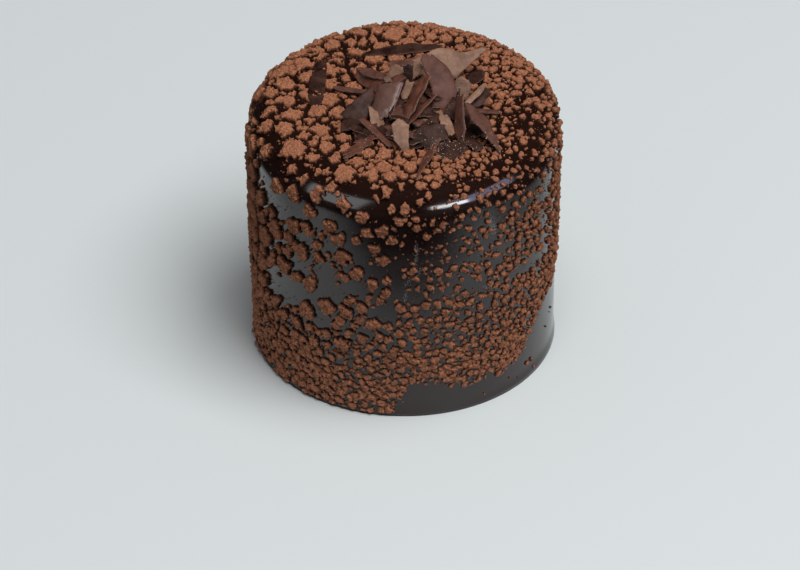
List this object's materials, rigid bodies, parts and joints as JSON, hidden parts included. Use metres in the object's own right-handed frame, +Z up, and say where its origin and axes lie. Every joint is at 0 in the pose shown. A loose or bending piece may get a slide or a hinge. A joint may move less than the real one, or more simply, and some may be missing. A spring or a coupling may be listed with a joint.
{
  "type": "individual round chocolate cake",
  "caption": "Small round mirror-glazed chocolate mousse cake dusted with clumped cocoa, topped with a heap of chocolate shavings and stray flakes.",
  "frame": {"origin": "middle of the flat base, on the surface that the cake stands on", "axes": "+Z up through the heap of shavings, -Y towards the side that the picture shows, +X to its right"},
  "size_m": [0.0812, 0.081, 0.0834],
  "materials": {
    "chocolate_glaze": "dark mirror glaze with clumps of matte brown cocoa powder over it",
    "shaved_chocolate": "shaved dark chocolate, satin, from tan to near black",
    "dark_flake": "dark chocolate flake, satin with a fine sparkle"
  },
  "bodies": {
    "root": {"cake": "chocolate_glaze", "shavings": "shaved_chocolate", "flake_left": "dark_flake", "flake_back": "dark_flake", "flake_right": "dark_flake", "flake_behind": "shaved_chocolate"}
  },
  "joints": []
}
